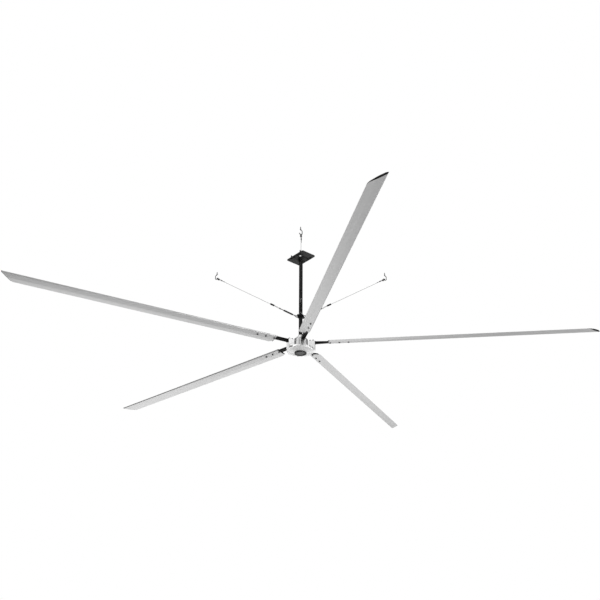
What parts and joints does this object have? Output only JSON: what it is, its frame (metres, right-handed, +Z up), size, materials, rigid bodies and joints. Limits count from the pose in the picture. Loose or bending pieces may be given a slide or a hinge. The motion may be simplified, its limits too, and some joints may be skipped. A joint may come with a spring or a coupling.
{
  "type": "high volume low speed ceiling fan",
  "caption": "Very wide, slow ceiling fan: long hollow aerofoil blades on black arms round a motor hub, hung by a down rod from a ceiling plate and steadied by taut guy wires.",
  "frame": {"origin": "centre of the ceiling plate's top face, on the fan's axis", "axes": "+Z up along the down rod; -Y towards the viewer of the picture and the near guy; +X to the viewer's right"},
  "size_m": [6.8093, 6.9191, 1.43],
  "materials": {
    "plate_black": "satin black powder coat",
    "bolt_dark": "dark phosphated steel, satin",
    "zinc": "zinc plated, satin",
    "rod_black": "satin black powder coat",
    "collar_black": "satin black paint",
    "turnbuckle_black": "satin black paint",
    "wire_rope": "bright galvanised wire rope",
    "lock_black": "matte black",
    "ferrule_grey": "dull crimped metal",
    "thimble_zinc": "zinc plated, satin",
    "shackle_dark": "dark galvanised steel",
    "neck_silver": "satin silver paint",
    "housing_grey": "satin metallic grey paint",
    "bearing_steel": "ground steel",
    "stator_iron": "varnished laminations and windings",
    "magnet_iron": "dull nickel",
    "hub_silver": "satin pale silver paint",
    "cover_silver": "smooth satin silver paint",
    "ring_black": "matte black",
    "disc_grey": "bare satin grey",
    "arm_black": "satin black powder coat",
    "blade_silver": "satin anodised",
    "cap_black": "matte black"
  },
  "bodies": {
    "ceiling_mount": {"ceiling_plate": "plate_black", "yoke": "plate_black", "ceiling_bolts": "bolt_dark", "yoke_screws": "bolt_dark", "pivot_bolt": "zinc"},
    "down_rod": {"ceiling_hooks": "zinc", "collar_bolts": "bolt_dark", "collar_front_half": "collar_black", "collar_rear_half": "collar_black", "down_rod": "rod_black", "guy_wire_far": "wire_rope", "guy_wire_left": "wire_rope", "guy_wire_near": "wire_rope", "guy_wire_right": "wire_rope", "hook_nuts": "zinc", "lower_bearing": "bearing_steel", "lower_eyes": "zinc", "motor_end_cover": "housing_grey", "motor_housing": "housing_grey", "motor_neck": "neck_silver", "motor_neck_bolts": "bolt_dark", "motor_stator": "stator_iron", "rod_cross_bolts": "bolt_dark", "rod_top_eye": "rod_black", "shackle_pins": "zinc", "shackles": "shackle_dark", "upper_bearing": "bearing_steel", "upper_eyes": "zinc", "wire_ferrules": "ferrule_grey", "wire_locks": "lock_black", "wire_thimbles": "thimble_zinc"},
    "rotor": {"arm_1": "arm_black", "arm_2": "arm_black", "arm_3": "arm_black", "arm_4": "arm_black", "arm_5": "arm_black", "arm_bolts": "bolt_dark", "blade_1": "blade_silver", "blade_2": "blade_silver", "blade_3": "blade_silver", "blade_4": "blade_silver", "blade_5": "blade_silver", "blade_bolts": "bolt_dark", "centre_disc": "disc_grey", "centre_ring": "ring_black", "cover_screws": "zinc", "hub_casting": "hub_silver", "lower_cover": "cover_silver", "motor_rotor": "magnet_iron", "motor_shaft": "bearing_steel", "shaft_bolts": "zinc", "tip_cap_1": "cap_black", "tip_cap_2": "cap_black", "tip_cap_3": "cap_black", "tip_cap_4": "cap_black", "tip_cap_5": "cap_black"},
    "turnbuckle_near": {"turnbuckle_near": "turnbuckle_black"},
    "turnbuckle_right": {"turnbuckle_right": "turnbuckle_black"},
    "turnbuckle_far": {"turnbuckle_far": "turnbuckle_black"},
    "turnbuckle_left": {"turnbuckle_left": "turnbuckle_black"}
  },
  "joints": [
    {"name": "rod_swing", "type": "hinge", "parent": "ceiling_mount", "child": "down_rod", "pos_m": [0, 0, -0.044], "axis": [0.6428, -0.766, 0], "range_deg": [-10, 10]},
    {"name": "fan_spin", "type": "hinge", "parent": "down_rod", "child": "rotor", "pos_m": [0, 0, -1.25], "axis": [0, 0, 1], "continuous": true},
    {"name": "turnbuckle_near_turn", "type": "hinge", "parent": "down_rod", "child": "turnbuckle_near", "pos_m": [0, -0.1592, -0.81588], "axis": [0, -0.8859, 0.4638], "range_deg": [-180, 180]},
    {"name": "turnbuckle_right_turn", "type": "hinge", "parent": "down_rod", "child": "turnbuckle_right", "pos_m": [0.1592, 0, -0.81588], "axis": [0.8859, 0, 0.4638], "range_deg": [-180, 180]},
    {"name": "turnbuckle_far_turn", "type": "hinge", "parent": "down_rod", "child": "turnbuckle_far", "pos_m": [0, 0.1592, -0.81588], "axis": [0, 0.8859, 0.4638], "range_deg": [-180, 180]},
    {"name": "turnbuckle_left_turn", "type": "hinge", "parent": "down_rod", "child": "turnbuckle_left", "pos_m": [-0.1592, 0, -0.81588], "axis": [-0.8859, 0, 0.4638], "range_deg": [-180, 180]}
  ]
}
